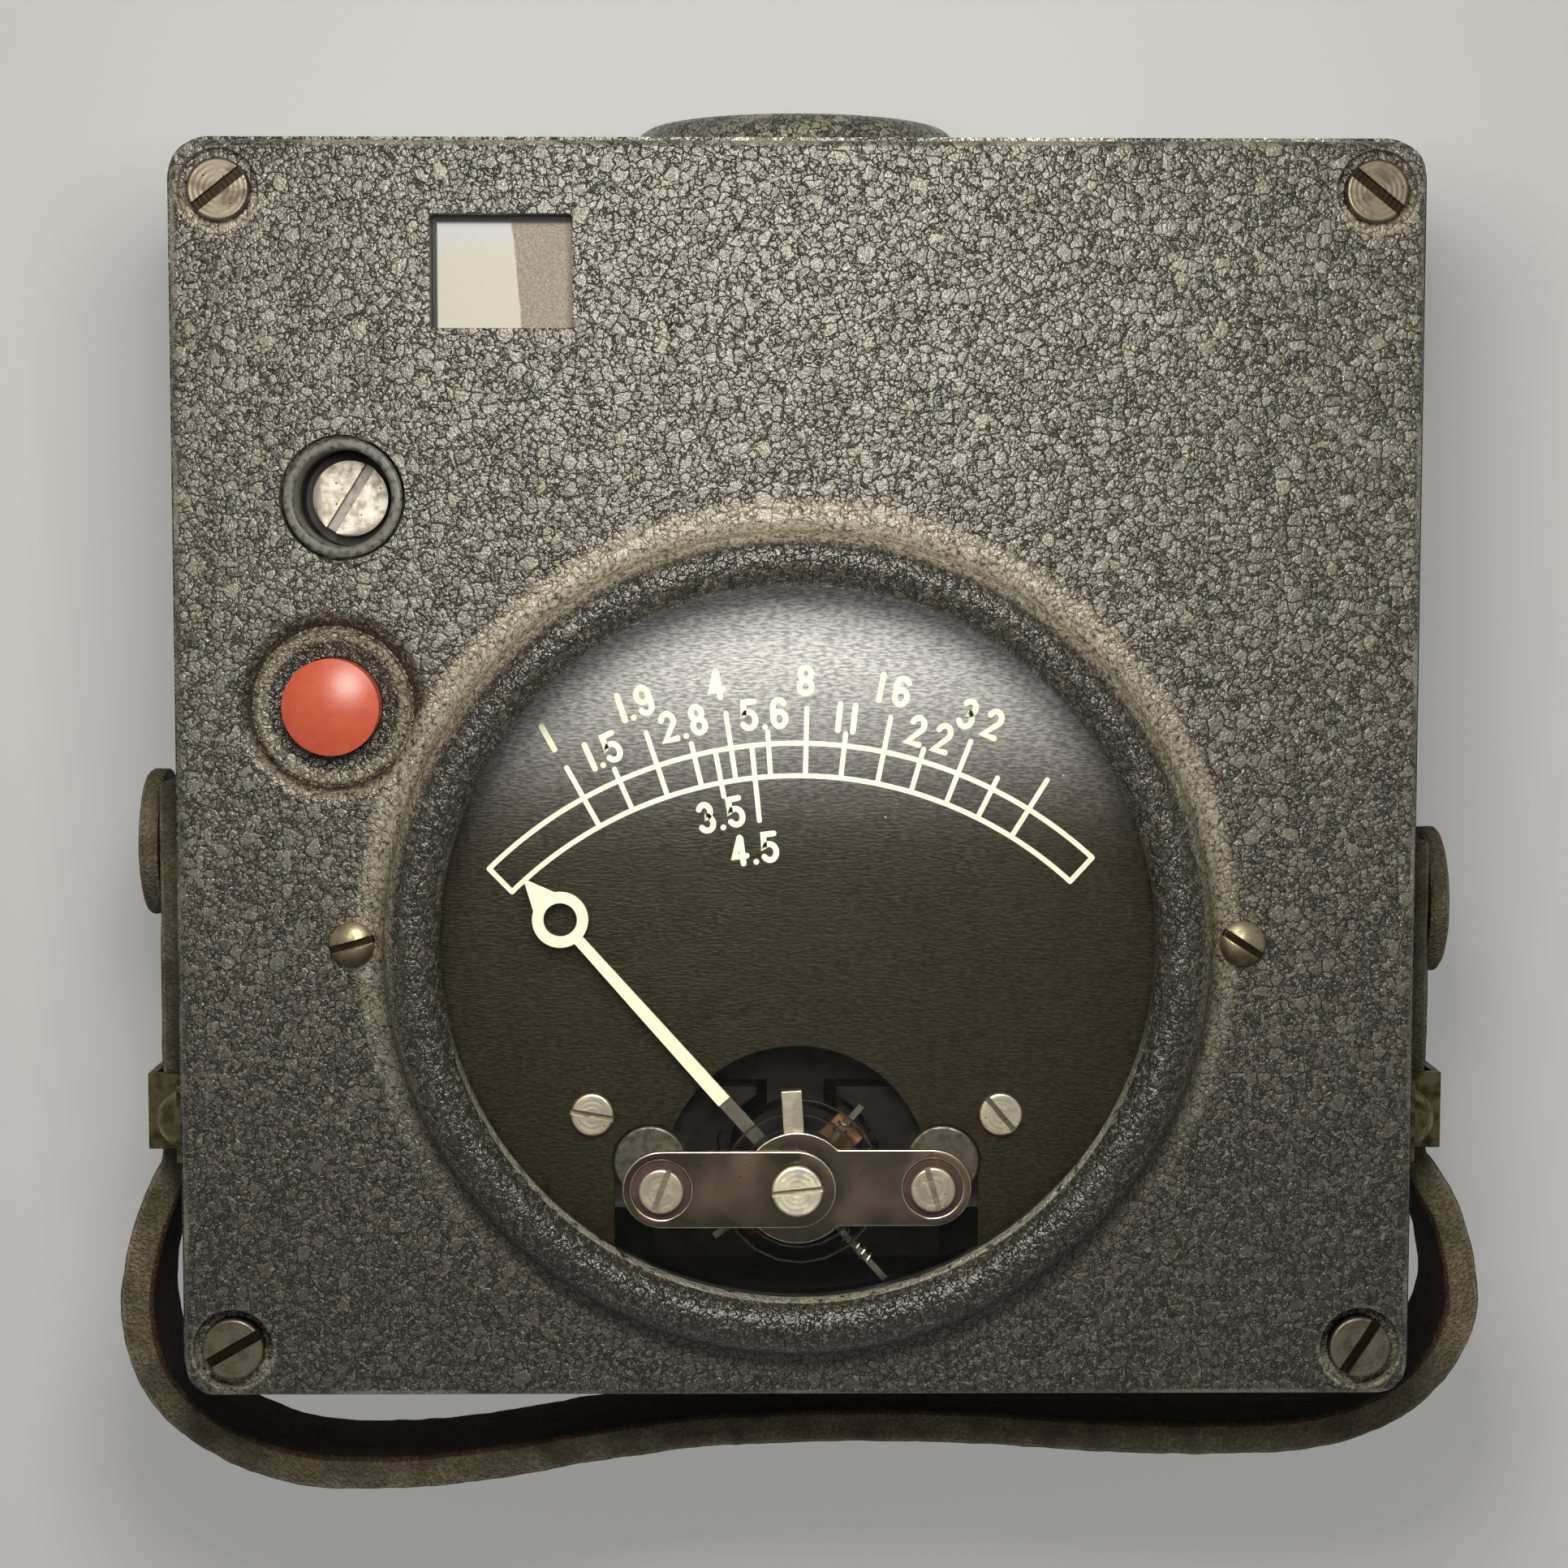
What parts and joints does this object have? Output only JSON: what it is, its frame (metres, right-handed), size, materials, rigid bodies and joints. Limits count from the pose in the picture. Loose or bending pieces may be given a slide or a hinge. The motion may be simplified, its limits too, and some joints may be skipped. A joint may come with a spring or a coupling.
{
  "type": "photo-electric exposure meter",
  "caption": "Shallow black wrinkle-enamel box with a round pointer meter in a raised bezel, a push button, a recessed slotted adjuster, a finder window and a sliding leather strap.",
  "frame": {"origin": "centre of the case's flat back", "axes": "+Z out of the dial, +Y towards the side with the light cell's hood, +X to the dial's right"},
  "size_m": [0.1206, 0.1206, 0.044],
  "materials": {
    "crackle_enamel": "black wrinkle enamel on cast metal",
    "steel": "aged plain steel",
    "dark_steel": "blackened steel",
    "nickel": "worn nickel plate",
    "brass": "plain brass",
    "glass": "clear",
    "ground_glass": "ground",
    "mirror": "silvered",
    "dial_black": "satin black",
    "cream_paint": "cream",
    "black_plastic": "satin black",
    "red_plastic": "polished red",
    "bakelite": "brown moulding",
    "fibre": "red vulcanised fibre",
    "copper": "enamelled copper wire",
    "magnet_steel": "painted magnet steel",
    "iron": "soft iron",
    "zinc": "zinc can in a paper sleeve",
    "selenium": "dark grey coated plate",
    "leather": "black leather, worn brown at its edges"
  },
  "bodies": {
    "housing": {"case": "crackle_enamel", "front_panel": "crackle_enamel", "panel_screws": "steel", "meter_glass": "glass", "glass_spacer": "black_plastic", "meter_cup": "black_plastic", "meter_screws": "dark_steel", "dial_plate": "dial_black", "dial_pillars": "brass", "dial_screws": "dark_steel", "magnet": "magnet_steel", "pole_pieces": "iron", "core": "iron", "core_bracket": "brass", "bridge_posts": "nickel", "upper_bridge": "nickel", "bridge_strap": "nickel", "fibre_bushes": "fibre", "bridge_screws": "nickel", "upper_jewel_screw": "brass", "lower_posts": "nickel", "lower_bridge": "nickel", "lower_jewel_screw": "brass", "lower_hairspring": "steel", "meter_terminals": "brass", "inner_screws": "steel", "button_spring": "steel", "switch_plate": "bakelite", "switch_contacts": "brass", "adjuster_bush": "black_plastic", "bush_nut": "steel", "rheostat_case": "bakelite", "rheostat_winding": "steel", "finder_glass": "ground_glass", "finder_bracket": "steel", "finder_mirror": "mirror", "finder_lens": "glass", "cell_window": "glass", "photo_cell": "selenium", "cell_cup": "bakelite", "cell_spring": "brass", "dry_cell": "zinc", "battery_clip": "steel", "battery_contacts": "brass", "strap_keepers": "dark_steel", "keeper_rivets": "dark_steel"},
    "pointer": {"moving_coil": "copper", "coil_staffs": "steel", "balance_cross": "nickel", "balance_coils": "copper", "pointer": "cream_paint"},
    "button": {"push_button": "red_plastic", "contact_disc": "brass"},
    "adjuster": {"adjuster_shaft": "nickel", "rheostat_wiper": "brass"},
    "zero_lever": {"zero_lever": "nickel", "upper_hairspring": "steel"},
    "strap": {"strap": "leather", "strap_stops": "leather"}
  },
  "joints": [
    {"name": "button_press", "type": "slide", "parent": "housing", "child": "button", "axis": [0, 0, -1], "range_m": [0, 0.0022], "stiffness_N_per_m": 300, "springref_m": -0.002, "deforming": ["button_spring"]},
    {"name": "pointer_swing", "type": "hinge", "parent": "housing", "child": "pointer", "pos_m": [0, -0.0354, 0.034], "axis": [0, 0, -1], "range_deg": [0, 84], "stiffness_Nm_per_rad": 0.00002, "springref_deg": -5.73},
    {"name": "adjuster_turn", "type": "hinge", "parent": "housing", "child": "adjuster", "pos_m": [-0.0379, 0.0233, 0.034], "axis": [0, 0, 1], "range_deg": [-145, 145]},
    {"name": "zero_adjust", "type": "hinge", "parent": "housing", "child": "zero_lever", "pos_m": [0, -0.0354, 0.034], "axis": [0, 0, 1], "range_deg": [-10, 10]},
    {"name": "strap_slide", "type": "slide", "parent": "housing", "child": "strap", "axis": [0, -1, 0], "range_m": [0, 0.0075]}
  ]
}
